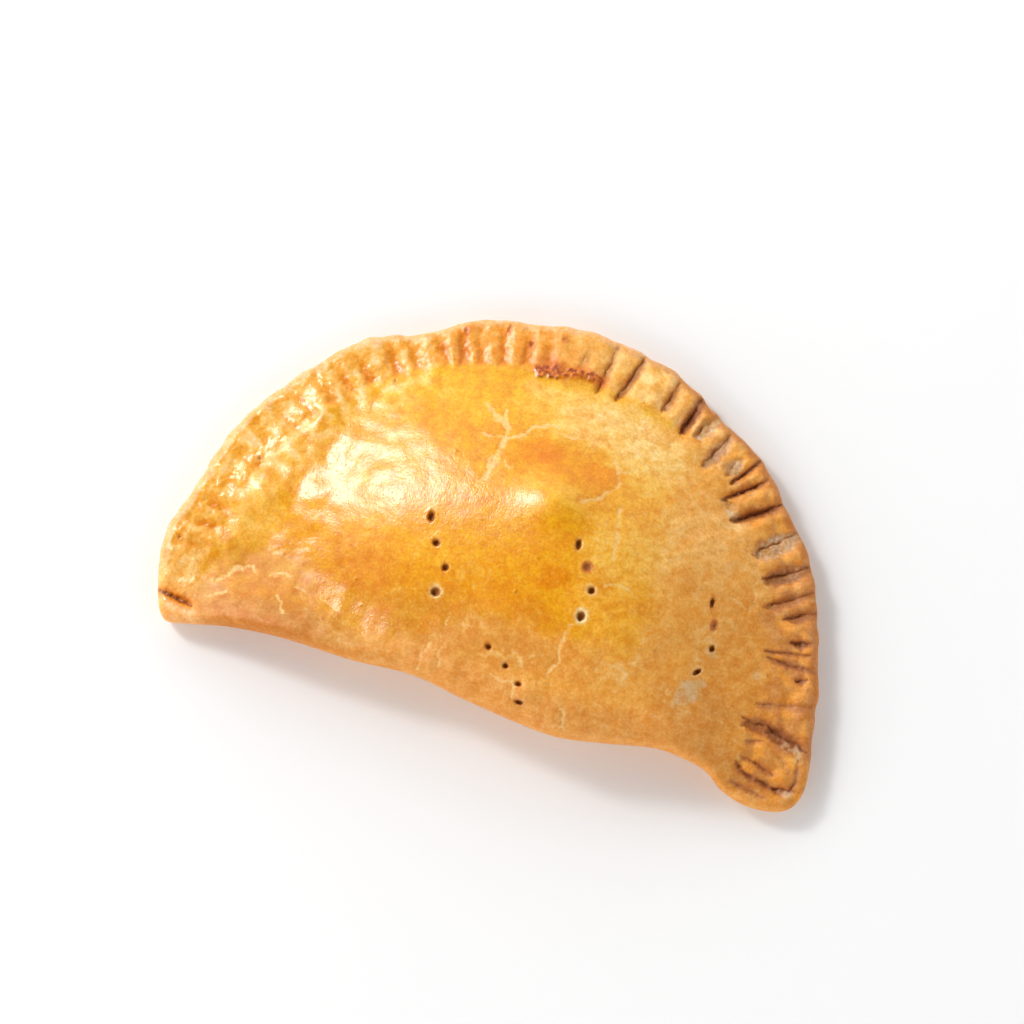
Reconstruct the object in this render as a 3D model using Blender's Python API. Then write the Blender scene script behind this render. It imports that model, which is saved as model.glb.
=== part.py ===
"""A beef hand pie: a disc of shortcrust pastry folded over its filling into a half moon.

The long straight side, along -Y, is the fold. The round side is the sealed rim, pressed all along with a
fork. The lid between them is domed and pricked. The pie is one closed solid that rests flat on z = 0, with
its origin at the middle of its footprint. Lengths are in millimetres until the mesh is made.
"""

import math

import bmesh
import bpy
import numpy as np
from mathutils import Vector, noise

MM = 0.001
PIE_NAME = "beef_hand_pie"
CRUST_COLOUR = (0.80, 0.45, 0.13, 1.0)

# The rim is drawn round this point: angle from +X in degrees, radius of the edge, radius of the lid's foot.
CENTRE = np.array((0.25, -30.4))
RIM = (
    (-14, 87.7, 70.5), (-10, 89.7, 70.5), (-4, 88.0, 70.5), (2, 86.3, 70.5), (10, 85.2, 72.0),
    (20, 84.3, 72.0), (30, 84.7, 72.0), (40, 83.3, 70.5), (50, 83.8, 72.0), (60, 82.2, 72.5),
    (70, 83.8, 71.5), (80, 84.0, 69.5), (90, 83.9, 72.0), (100, 82.7, 70.0), (110, 83.2, 69.5),
    (120, 81.4, 71.0), (130, 84.7, 71.5), (140, 84.7, 72.5), (150, 85.6, 72.0), (160, 86.6, 73.0),
    (170, 86.5, 75.0), (180, 89.1, 76.5), (190, 87.4, 77.0), (195, 85.0, 77.0),
)
TIP_NARROWING = 0.36
# The fold, from the left tip to the right one: x and y of its edge.
FOLD = (
    (-75.8, -51.9), (-64.8, -49.8), (-49.8, -48.7), (-31.8, -48.8), (-15.8, -47.8),
    (-1.8, -49.7), (12.2, -51.3), (24.2, -51.9), (36.2, -49.8), (48.2, -47.2),
    (56.2, -47.2), (63.2, -48.3), (69.2, -51.8), (77.2, -53.4),
)
FOLD_REACH = (-86.0, 73.0)
FOLD_FADES = (38.0, 24.0)
FOLD_INNER_Y = -38.0

CROWN_HEIGHT = 33.5
# The lid slopes down to the left tip: the slope, the x where it starts, and the width of the bend there.
CROWN_SLOPE = (0.36, -14.0, 16.0)
RIM_HEIGHT = 7.2
RIM_EDGE_HEIGHT = 3.6
RIM_ROUNDING = 2.8
RIM_UNDERCUT = 2.6
RIM_WAVE = 0.9
SCALLOP = 0.5
FOLD_HEIGHT = 17.0
FOLD_EDGE_HEIGHT = 13.0
FOLD_UNDERCUT = 7.0
FOLD_DEPTH = 12.0
# The lid's rise from its foot and from the fold: how far in it ends, and the powers of its curve. It sets
# out from the rim in a soft bend this wide.
FOOT_BEND = 3.0
RIM_RISE = (58.0, 2.2, 1.0)
FOLD_RISE = (56.0, 2.0, 0.7)

# Each press of the fork: the angles of its tine marks, their depths, and half the width of a mark.
PRESSES = (
    ((190.8, 185.6, 181.1, 176.8), (3.2, 1.3, 1.5, 2.0), 1.0),
    ((172.7, 168.1, 162.0, 156.5), (2.0, 1.2, 1.4, 1.2), 1.3),
    ((151.3, 146.9, 142.1, 137.8), (1.3, 1.2, 1.3, 1.2), 1.3),
    ((133.2, 127.4, 123.2, 117.5), (1.4, 1.5, 1.3, 1.6), 1.4),
    ((113.3, 109.6, 105.1, 100.2), (2.0, 1.4, 1.3, 1.6), 1.3),
    ((95.9, 88.3, 83.7, 78.6), (1.4, 1.5, 3.4, 3.8), 1.3),
    ((69.9, 64.8, 61.0, 55.7), (2.6, 3.6, 2.6, 2.8), 1.4),
    ((50.0, 47.0, 41.6, 34.1), (2.6, 2.6, 3.6, 3.0), 1.3),
    ((28.3, 23.6, 19.8, 14.5), (3.6, 2.8, 2.4, 2.6), 1.5),
    ((12.4, 10.6, 8.2, 2.9), (1.2, 2.4, 1.6, 1.2), 0.9),
)
LIP = 2.6
# More marks on the right tip: the two ends, the depth, and half the width.
TIP_MARKS = (
    ((84.3, -33.6), (68.8, -33.8), 3.8, 1.7),
    ((78.8, -43.8), (71.5, -42.4), 1.2, 0.5),
    ((85.1, -46.9), (76.3, -46.8), 1.8, 0.6),
    ((76.3, -46.8), (69.9, -44.3), 1.5, 0.6),
    ((85.3, -39.0), (85.1, -46.9), 1.2, 0.5),
    ((78.8, -50.3), (70.6, -49.0), 1.1, 0.5),
)
# A mark's walls, the bend of the pastry beside it, the raggedness of its edge, and how it deepens inward.
WALL = 0.8
SHOULDER = (0.22, 1.4)
RAGGED = 0.35
OUTER_DEPTH = 0.62

# Gentle swells where the filling lies under the lid: x, y, radius and height.
LUMPS = (
    (-44.0, 15.0, 9.0, 2.2), (-33.0, 20.0, 12.5, 1.9), (-35.0, -9.5, 10.5, 1.0), (-35.0, 3.0, 7.5, -0.7),
    (-55.0, -12.5, 8.5, 1.5), (-61.0, -11.0, 10.0, 1.4), (-29.0, -34.0, 20.0, -1.5), (-46.0, -33.0, 20.0, -1.5),
    (-10.5, -4.0, 20.0, -1.5), (6.5, 5.5, 7.5, 2.0), (38.0, -15.0, 20.0, 1.4), (14.0, -37.0, 20.0, 1.4),
)
# The four prickings of the lid: x and y of each hole.
PRICKS = (
    (-22.5, -9.1), (-19.2, -15.1), (-15.1, -20.4), (-15.7, -26.8),
    (15.4, -5.9), (19.2, -10.7), (21.9, -15.9), (21.3, -22.7),
    (1.3, -36.2), (6.8, -39.5), (11.3, -42.9), (12.8, -47.1),
    (51.8, -7.9), (53.9, -13.3), (55.1, -18.9), (53.3, -25.8),
)
PRICK_RADIUS = 1.15
PRICK_TAPER = 0.4
PRICK_DEPTH = 5.0
PRICK_SIDES = 9

# The mesh: section lines round the pie, how much closer they stand on the rim, and the rings between
# underside, edge, foot and crown. TRIANGLES is what is left once the plain areas are simplified.
COLUMNS = 640
RIM_DENSITY = 1.5
UNDERSIDE_SHARES = (0.4, 0.75, 0.97)
SIDE_RINGS = 6
ROUNDING_RINGS = 4
BAND_RINGS = 16
LID_RINGS = 56
TRIANGLES = 10800


def smooth(value):
    """0 below 0, 1 above 1, and an even curve between."""
    value = np.clip(value, 0.0, 1.0)
    return value * value * (3.0 - 2.0 * value)


def round_centre(angle, radius):
    angle = np.radians(angle)
    return CENTRE + np.stack((radius * np.cos(angle), radius * np.sin(angle)), axis=-1)


def unevenness(plan, size, seed):
    """Smooth noise from -1 to 1 at each plan point, with bumps about as wide as size."""
    return np.array([noise.noise(Vector((x / size, y / size, seed))) for x, y in plan])


def fold_share(x):
    """1 where the long side is the rolled fold, 0 on the flat tips."""
    return smooth((x - FOLD_REACH[0]) / FOLD_FADES[0]) * smooth((FOLD_REACH[1] - x) / FOLD_FADES[1])


def stations():
    """Rows of edge x, edge y, inner x and inner y, counter-clockwise from the right tip."""
    angle, edge, foot = np.array(RIM, float).T
    past_tip = angle - np.clip(angle, 0.0, 180.0)
    inner_angle = angle - (1.0 - TIP_NARROWING) * past_tip
    rim = np.column_stack((round_centre(angle, edge), round_centre(inner_angle, foot)))
    x, y = np.array(FOLD).T
    inner_x = x * (0.88 + 0.09 * fold_share(x))
    return np.vstack((rim, np.column_stack((x, y, inner_x, np.full(len(x), FOLD_INNER_Y)))))


def closed_spline(rows, at):
    """The closed Catmull-Rom curve through rows, read at row numbers that need not be whole."""
    first = np.floor(at).astype(int)
    part = (at - first)[:, None]
    a, b, c, d = (rows[(first + step) % len(rows)] for step in (-1, 0, 1, 2))
    curve = 2 * b + (c - a) * part + (2 * a - 5 * b + 4 * c - d) * part**2 + (3 * b - a - 3 * c + d) * part**3
    return curve / 2


def outline():
    """The stations' curve drawn finely: its row numbers, and the edge and inner points there."""
    rows = stations()
    at = np.linspace(0.0, len(rows), 40 * len(rows) + 1)
    path = closed_spline(rows, at)
    return at, path[:, :2], path[:, 2:]


def marks():
    """Every fork mark: its outer end, inner end, depth and half width."""
    angles, edges, feet = np.array(RIM, float).T
    found = []
    for press, depths, half_width in PRESSES:
        for angle, depth in zip(press, depths):
            outer = round_centre(angle, np.interp(angle, angles, edges) - LIP - half_width)
            inner = round_centre(angle, np.interp(angle, angles, feet) + half_width)
            found.append((outer, inner, depth, half_width))
    for outer, inner, depth, half_width in TIP_MARKS:
        found.append((np.array(outer), np.array(inner), depth, half_width))
    return found


def mark_depth(plan):
    """How far the fork has pressed the pastry down at each plan point."""
    ragged = RAGGED * unevenness(plan, 1.7, 11.0)
    bend, reach = SHOULDER
    deepest = np.zeros(len(plan))
    for outer, inner, depth, half_width in marks():
        along = inner - outer
        share = np.clip((plan - outer) @ along / (along @ along), 0.0, 1.0)
        away = np.linalg.norm(plan - outer - share[:, None] * along, axis=1) + ragged
        wall = smooth((half_width + WALL / 2 - away) / WALL)
        shoulder = np.exp(-((away / (half_width + reach)) ** 2))
        floor = depth * (OUTER_DEPTH + (1.0 - OUTER_DEPTH) * smooth(share * 1.6))
        deepest = np.maximum(deepest, floor * (wall * (1.0 - bend) + shoulder * bend))
    return deepest


def scallops(edge):
    """Small waves of the rim's edge, drawn in a little beside each fork mark."""
    outward = edge - CENTRE
    outward /= np.linalg.norm(outward, axis=1)[:, None]
    wave = SCALLOP * unevenness(edge, 4.5, 21.0)
    for outer, _, depth, _ in marks():
        wave -= 0.2 * depth * np.exp(-((np.linalg.norm(edge - outer, axis=1) / 4.2) ** 4))
    on_rim = smooth((edge[:, 1] - FOLD_INNER_Y) / 8.0)
    return outward * (wave * on_rim)[:, None]


def columns(count):
    """The edge point and the inner point of each section line round the pie."""
    fine, edge, _ = outline()
    steps = np.linalg.norm(np.diff(edge, axis=0), axis=1)
    steps *= np.where(fine[1:] < len(RIM), RIM_DENSITY, 1.0)
    travelled = np.concatenate(((0.0,), np.cumsum(steps)))
    at = np.interp(np.arange(count) * travelled[-1] / count, travelled, fine)
    path = closed_spline(stations(), at)
    edge = path[:, :2]
    return edge + scallops(edge), path[:, 2:]


def inner_rings(boundary, shares):
    """Closed rings that run evenly from the boundary, at share 1, to its middle, at share 0."""
    waves = np.fft.fft(boundary[:, 0] + 1j * boundary[:, 1])
    order = np.abs(np.fft.fftfreq(len(boundary), 1.0 / len(boundary)))
    rings = [np.fft.ifft(waves * share**order) for share in shares]
    return [np.column_stack((ring.real, ring.imag)) for ring in rings]


def rise(distance, reach, power, root):
    """0 at distance 0, 1 from the reach on."""
    return (1.0 - (1.0 - np.clip(distance / reach, 0.0, 1.0)) ** power) ** root


def crown_height(x):
    slope, start, bend = CROWN_SLOPE
    return CROWN_HEIGHT - slope * bend * np.logaddexp(0.0, (start - x) / bend)


def swell(plan):
    """Lumps of the filling and the slow waves of the pastry over it."""
    height = 0.5 * unevenness(plan, 17.0, 5.0) + 0.22 * unevenness(plan, 6.0, 8.0)
    for x, y, radius, tall in LUMPS:
        distance = np.linalg.norm(plan - (x, y), axis=1)
        height += tall * np.exp(-((distance / radius) ** 2))
    return height


def top_height(plan, from_edge):
    """Height of the pie's top at each plan point, given its distance from the edge."""
    x, y = (plan - CENTRE).T
    at, edge_curve, inner_curve = outline()
    fold_edge = edge_curve[(at > len(RIM)) & (at < at[-1])] - CENTRE
    foot_curve = inner_curve[at < len(RIM)] - CENTRE
    above = np.maximum(y, 0.0)
    foot_angle = np.arctan2(foot_curve[:, 1], foot_curve[:, 0])
    foot = np.interp(np.arctan2(above, x), foot_angle, np.linalg.norm(foot_curve, axis=1))
    from_foot = FOOT_BEND * np.logaddexp(0.0, (foot - np.hypot(x, above)) / FOOT_BEND)
    from_fold = np.maximum(y - np.interp(x, fold_edge[:, 0], fold_edge[:, 1]), 0.0)
    fold = fold_share(plan[:, 0]) * np.exp(-((from_fold / FOLD_DEPTH) ** 2))

    edge = RIM_EDGE_HEIGHT + (FOLD_EDGE_HEIGHT - RIM_EDGE_HEIGHT) * fold
    flat = RIM_HEIGHT + (FOLD_HEIGHT - RIM_HEIGHT) * fold
    flat += RIM_WAVE * unevenness(plan, 13.0, 2.0) + 0.4 * RIM_WAVE * unevenness(plan, 4.0, 4.0)
    turn = np.clip(1.0 - from_edge / RIM_ROUNDING, 0.0, 1.0)
    base = edge + (flat - edge) * np.sqrt(1.0 - turn**2)
    risen = rise(from_foot, *RIM_RISE) * rise(from_fold, *FOLD_RISE)
    return base + (crown_height(plan[:, 0]) + swell(plan) - base) * risen - mark_depth(plan)


def pie_rings():
    """The rings of the pie in order, from the middle of its underside over the edge to the crown."""
    edge, inner = columns(COLUMNS)
    width = np.linalg.norm(inner - edge, axis=1)
    inward = (inner - edge) / width[:, None]
    fold = fold_share(edge[:, 0]) * (edge[:, 1] < FOLD_INNER_Y)
    undercut = RIM_UNDERCUT + (FOLD_UNDERCUT - RIM_UNDERCUT) * fold
    edge_height = RIM_EDGE_HEIGHT + (FOLD_EDGE_HEIGHT - RIM_EDGE_HEIGHT) * fold

    rings = []
    for step, ring in zip((8, 4, 2), inner_rings(inner, UNDERSIDE_SHARES)):
        rings.append(np.column_stack((ring, np.zeros(len(ring))))[::step])
    for turn in np.linspace(0.0, math.pi / 2, SIDE_RINGS + 1)[:-1]:
        plan = edge + inward * (undercut * (1.0 - math.sin(turn)))[:, None]
        rings.append(np.column_stack((plan, edge_height * (1.0 - math.cos(turn)))))

    turns = np.linspace(0.0, math.pi / 2, ROUNDING_RINGS + 1)
    band = [np.full(len(edge), RIM_ROUNDING * (1.0 - math.cos(turn))) for turn in turns]
    shares = np.linspace(0.0, 1.0, BAND_RINGS + 1)[1:-1]
    band += [RIM_ROUNDING + (width - RIM_ROUNDING) * share for share in shares]
    for from_edge in band:
        plan = edge + inward * from_edge[:, None]
        rings.append(np.column_stack((plan, top_height(plan, from_edge))))

    shares = np.linspace(1.0, 0.03, LID_RINGS)
    for share, ring in zip(shares, inner_rings(inner, shares)):
        step = 1 if share > 0.75 else 2 if share > 0.45 else 4 if share > 0.2 else 8
        plan = ring[::step]
        rings.append(np.column_stack((plan, top_height(plan, RIM_ROUNDING))))
    return rings


def bridge(bm, lower, upper):
    """Faces between two rings of vertices; one may have twice as many as the other."""
    few, many = (lower, upper) if len(lower) < len(upper) else (upper, lower)
    for i in range(len(few)):
        j = (i + 1) % len(few)
        if len(few) == len(many):
            faces = [(lower[i], lower[j], upper[j], upper[i])]
        else:
            a, b, c = many[2 * i], many[2 * i + 1], many[(2 * i + 2) % len(many)]
            faces = [(a, b, few[i]), (b, few[j], few[i]), (b, c, few[j])]
        for face in faces:
            bm.faces.new(face if few is not lower else tuple(reversed(face)))


def close(bm, ring, facing_up):
    """A fan from the middle of a ring."""
    middle = bm.verts.new(sum((vert.co for vert in ring), Vector()) / len(ring))
    for i, vert in enumerate(ring):
        following = ring[(i + 1) % len(ring)]
        bm.faces.new((vert, following, middle) if facing_up else (following, vert, middle))


def pie_mesh(rings):
    bm = bmesh.new()
    made = [[bm.verts.new(point * MM) for point in ring] for ring in rings]
    for lower, upper in zip(made, made[1:]):
        bridge(bm, lower, upper)
    close(bm, made[0], facing_up=False)
    close(bm, made[-1], facing_up=True)
    mesh = bpy.data.meshes.new("pastry")
    bm.to_mesh(mesh)
    bm.free()
    mesh.shade_smooth()
    mesh.materials.append(crust_material())
    return mesh


def crust_material():
    material = bpy.data.materials.new("golden_crust")
    material.use_nodes = True
    shader = material.node_tree.nodes["Principled BSDF"]
    shader.inputs["Base Color"].default_value = CRUST_COLOUR
    shader.inputs["Roughness"].default_value = 0.4
    shader.inputs["Metallic"].default_value = 0.0
    material.diffuse_color = CRUST_COLOUR
    return material


def new_collection(name):
    collection = bpy.data.collections.new(name)
    bpy.context.scene.collection.children.link(collection)
    return collection


def prick_cutters():
    """A tapered tine standing in the lid for each hole."""
    cutters = new_collection("cutters")
    heights = top_height(np.array(PRICKS), RIM_ROUNDING)
    for number, ((x, y), height) in enumerate(zip(PRICKS, heights), 1):
        bpy.ops.mesh.primitive_cone_add(
            vertices=PRICK_SIDES,
            radius1=PRICK_TAPER * PRICK_RADIUS * MM,
            radius2=(2.0 - PRICK_TAPER) * PRICK_RADIUS * MM,
            depth=2.0 * PRICK_DEPTH * MM,
            location=(x * MM, y * MM, height * MM),
        )
        cutter = bpy.context.object
        cutter.name = f"prick_{number}"
        cutter.hide_render = True
        cutter.display_type = "WIRE"
        for collection in list(cutter.users_collection):
            collection.objects.unlink(cutter)
        cutters.objects.link(cutter)
    return cutters


def build():
    for old in list(bpy.data.objects):
        bpy.data.objects.remove(old)
    mesh = pie_mesh(pie_rings())
    pie = bpy.data.objects.new("pastry", mesh)
    new_collection(PIE_NAME).objects.link(pie)

    mesh.calc_loop_triangles()
    facets = pie.modifiers.new("facets", "DECIMATE")
    facets.ratio = TRIANGLES / len(mesh.loop_triangles)
    holes = pie.modifiers.new("pricks", "BOOLEAN")
    holes.operation = "DIFFERENCE"
    holes.operand_type = "COLLECTION"
    holes.collection = prick_cutters()


build()
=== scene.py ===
"""The looks of the beef hand pie: its crust modelled finely, the white table it lies on and the studio light.

Lengths are in millimetres until a mesh is made. Colours are sRGB, 0 to 255, until they reach the material.
"""

import math
from types import SimpleNamespace

import bpy
import numpy as np
from mathutils import Matrix, Vector, geometry, kdtree, noise


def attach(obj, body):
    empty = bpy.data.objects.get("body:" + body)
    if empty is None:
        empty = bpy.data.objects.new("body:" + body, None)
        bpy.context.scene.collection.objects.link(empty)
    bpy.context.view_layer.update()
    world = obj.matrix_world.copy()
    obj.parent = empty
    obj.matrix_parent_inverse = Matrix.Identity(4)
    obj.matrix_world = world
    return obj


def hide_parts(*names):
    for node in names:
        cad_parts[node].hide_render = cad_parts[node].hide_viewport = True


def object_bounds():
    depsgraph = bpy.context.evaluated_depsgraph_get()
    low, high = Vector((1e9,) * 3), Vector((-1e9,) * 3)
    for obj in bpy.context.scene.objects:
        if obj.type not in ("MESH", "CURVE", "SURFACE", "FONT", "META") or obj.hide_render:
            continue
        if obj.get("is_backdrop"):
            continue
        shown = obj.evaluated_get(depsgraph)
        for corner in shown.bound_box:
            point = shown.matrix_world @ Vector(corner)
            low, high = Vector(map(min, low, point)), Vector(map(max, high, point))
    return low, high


MM = 0.001

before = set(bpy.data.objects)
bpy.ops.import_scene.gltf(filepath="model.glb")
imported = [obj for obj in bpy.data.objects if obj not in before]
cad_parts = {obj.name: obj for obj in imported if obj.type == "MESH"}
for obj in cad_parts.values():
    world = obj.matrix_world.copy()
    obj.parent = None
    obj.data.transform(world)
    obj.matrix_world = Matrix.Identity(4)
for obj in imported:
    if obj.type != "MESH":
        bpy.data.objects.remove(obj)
frame_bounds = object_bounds()


# The rim is drawn round this point: angle from +X in degrees, radius of the edge, radius of the lid's foot.
CENTRE = np.array((0.25, -30.4))
RIM = (
    (-14, 87.7, 70.5), (-10, 89.7, 70.5), (-4, 88, 70.5), (2, 86.3, 70.5), (10, 85.2, 72), (20, 84.3, 72),
    (30, 84.7, 72), (40, 83.3, 70.5), (50, 83.8, 72), (60, 82.2, 72.5), (70, 83.8, 71.5), (80, 84, 69.5),
    (90, 83.9, 72), (100, 82.7, 70), (110, 83.2, 69.5), (120, 81.4, 71), (130, 84.7, 71.5),
    (140, 84.7, 72.5), (150, 85.6, 72), (160, 86.6, 73), (170, 86.5, 75), (180, 89.1, 76.5),
    (190, 87.4, 77), (195, 85, 77),
)
RIM_ANGLES, RIM_EDGES, RIM_FEET = np.array(RIM, float).T
# Past 0 and 180 degrees the foot turns by only this share of the angle.
TIP_NARROWING = 0.36
# The fold, from the left tip to the right one: x and y of its edge.
FOLD = (
    (-75.8, -51.9), (-64.8, -49.8), (-49.8, -48.7), (-31.8, -48.8), (-15.8, -47.8), (-1.8, -49.7),
    (12.2, -51.3), (24.2, -51.9), (36.2, -49.8), (48.2, -47.2), (56.2, -47.2), (63.2, -48.3), (69.2, -51.8),
    (77.2, -53.4),
)
# The x where the rolled fold ends at each side, and how far it takes to fade there.
FOLD_REACH = (-86.0, 73.0)
FOLD_FADES = (38.0, 24.0)
# The fold's inner line: its y, its x as a share of the edge's x, and how much more that is along the fold.
FOLD_INNER_Y = -38.0
FOLD_INNER_X = (0.88, 0.09)
# Points of the outline's curve between two stations.
CURVE_STEPS = 40

CROWN_HEIGHT = 33.5
# The lid slopes down to the left tip: the slope, the x where it starts, and the width of the bend there.
CROWN_SLOPE = (0.36, -14.0, 16.0)
RIM_HEIGHT = 7.2
RIM_EDGE_HEIGHT = 3.6
RIM_ROUNDING = 2.8
RIM_UNDERCUT = 2.6
RIM_WAVE = 0.9
# The wave of the edge, and the notch beside a fork mark: its share of the mark's depth, and its radius.
SCALLOP = 0.5
NOTCH_SHARE = 0.2
NOTCH_RADIUS = 4.2
FOLD_HEIGHT = 17.0
FOLD_EDGE_HEIGHT = 13.0
FOLD_UNDERCUT = 7.0
FOLD_DEPTH = 12.0
# The lid's rise from its foot and from the fold: how far in it ends, and the powers of its curve. It sets
# out from the rim in a soft bend this wide.
FOOT_BEND = 4.5
RIM_RISE = (58.0, 2.2, 1.0)
FOLD_RISE = (56.0, 2.0, 0.7)

# Each press of the fork: the angles of its tine marks, their depths, and half the width of a mark. Each mark
# notches the edge. Those between the angles of SOFT_MARKS are modelled from here, the rest from CLEAR_MARKS.
PRESSES = (
    ((190.8, 185.6, 181.1, 176.8), (3.2, 1.3, 1.5, 2), 1),
    ((172.7, 168.1, 162, 156.5), (2, 1.2, 1.4, 1.2), 1.3),
    ((151.3, 146.9, 142.1, 137.8), (1.3, 1.2, 1.3, 1.2), 1.3),
    ((133.2, 127.4, 123.2, 117.5), (1.4, 1.5, 1.3, 1.6), 1.4),
    ((113.3, 109.6, 105.1, 100.2), (2, 1.4, 1.3, 1.6), 1.3),
    ((95.9, 88.3, 83.7, 78.6), (1.4, 1.5, 3.4, 3.8), 1.3),
    ((69.9, 64.8, 61, 55.7), (2.6, 3.6, 2.6, 2.8), 1.4), ((50, 47, 41.6, 34.1), (2.6, 2.6, 3.6, 3), 1.3),
    ((28.3, 23.6, 19.8, 14.5), (3.6, 2.8, 2.4, 2.6), 1.5),
    ((12.4, 10.6, 8.2, 2.9), (1.2, 2.4, 1.6, 1.2), 0.9),
)
LIP = 2.6
SOFT_MARKS = (92.0, 182.0)
# More notches at the right tip: the place, and the depth of the mark beside it.
TIP_NOTCHES = (
    ((84.3, -33.6), 3.8), ((78.8, -43.8), 1.2), ((85.1, -46.9), 1.8), ((76.3, -46.8), 1.5),
    ((85.3, -39), 1.2), ((78.8, -50.3), 1.1),
)
# The raggedness of a mark's edge, and the share of its depth that it has at its outer end.
RAGGED = 0.35
OUTER_DEPTH = 0.62
# What makes up the depth of a clear mark, dip, floor and crease, and of a soft one, dip and floor.
CLEAR_SHARES = (0.42, 0.34, 0.26)
SOFT_SHARES = (0.28, 0.3)

# Gentle swells where the filling lies under the lid: x, y, radius and height.
LUMPS = (
    (-44, 15, 9, 2.2), (-33, 20, 12.5, 1.9), (-35, -9.5, 10.5, 1), (-35, 3, 7.5, -0.2),
    (-55, -12.5, 8.5, 1.5), (-61, -11, 10, 1.4), (-29, -34, 20, -1.5), (-46, -33, 20, -1.5),
    (-10.5, -4, 20, -1.5), (6.5, 5.5, 7.5, 2), (38, -15, 20, 1.4), (14, -37, 20, 1.4),
)
# Slow waves of the lid: height, size and seed.
LID_WAVES = ((0.5, 17.0, 5.0), (0.06, 6.0, 8.0))

# The slit at the left tip, then the fork marks of the right side one by one: outer end, inner end, depth,
# half width, browning, which also sets the painted shade in the mark's crease, flour.
CLEAR_MARKS = (
    ((-85, -45.7), (-76, -47), 2.4, 0.45, 1, 0), ((2.6, 46.8), (1.8, 43.6), 0.9, 1, 0.2, 0.5),
    ((9.3, 50.2), (7.6, 37.8), 2, 0.9, 0.55, 0), ((16.6, 49), (13.4, 38), 2.5, 1.1, 0.8, 0),
    ((27.2, 45.5), (25.6, 39), 2.4, 1.1, 0.6, 0.1), ((34.3, 43.6), (31.9, 34.8), 3.4, 1.2, 1, 0),
    ((39.6, 40.6), (36.1, 34.7), 2.2, 1.5, 0.3, 1), ((43.8, 35.6), (40.1, 27.6), 2.6, 1.5, 0.6, 0.7),
    ((48.3, 31.3), (46.8, 27.5), 2, 1.5, 0.2, 1), ((53.3, 32.9), (48.5, 25.8), 2.4, 0.6, 0.9, 0.1),
    ((56.4, 28.3), (47.3, 20.5), 2.8, 0.6, 0.9, 0.1), ((61.2, 23), (51.4, 15.8), 3.4, 0.8, 1, 0),
    ((51.4, 16.4), (47.4, 20.2), 2, 1.3, 0.1, 0.9), ((67.6, 16.4), (59.9, 9.4), 2.8, 1.7, 0.5, 1),
    ((72.8, 9.3), (64.4, 3.7), 3.2, 1.5, 0.9, 0.4), ((75.6, 3.2), (66.2, -3.3), 2.2, 1, 0.7, 0.2),
    ((78.2, -1), (72.2, -4.4), 2.2, 1, 0.8, 0.1), ((78.6, -9.2), (75.7, -10), 2.2, 0.8, 1, 0),
    ((80, -12.2), (69.5, -14.2), 1.2, 0.5, 0.8, 0), ((81.3, -15.8), (70.1, -16.2), 1.6, 0.6, 0.8, 0.1),
    ((80.6, -18.7), (79.4, -19.2), 1.6, 0.6, 0.9, 0), ((84, -25), (71.5, -28.1), 0.9, 0.7, 0.6, 0.1),
    ((75.9, -33.4), (69.3, -33.3), 2.8, 1.3, 0.7, 0), ((84.2, -35.9), (75.9, -33.4), 3.4, 1.4, 1, 0.2),
    ((72.1, -45.9), (70, -44.1), 1.2, 0.5, 0.8, 0), ((76.4, -46.7), (72.1, -45.9), 1.5, 0.55, 1, 0),
    ((81.3, -47.6), (76.4, -46.7), 1.5, 0.55, 1, 0), ((85, -46.9), (81.3, -47.6), 1.8, 0.6, 1, 0.1),
    ((85.9, -44.2), (85, -46.9), 1.3, 0.5, 0.9, 0.2), ((85.2, -38.6), (85.9, -44.2), 0.9, 0.45, 0.6, 0.4),
    ((75.1, -42.7), (71.5, -42.3), 0.9, 0.5, 0.7, 0), ((78.9, -44.1), (75.1, -42.7), 1.2, 0.5, 0.8, 0),
    ((83.2, -42), (80.6, -39.8), 0.9, 0.6, 0.4, 0.4), ((74.2, -49.6), (70.6, -49), 1, 0.5, 0.7, 0),
    ((78.7, -50.4), (74.2, -49.6), 1, 0.5, 0.7, 0), ((73.4, -37.1), (71.2, -38.2), 0.9, 0.5, 0.7, 0),
)
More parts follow.
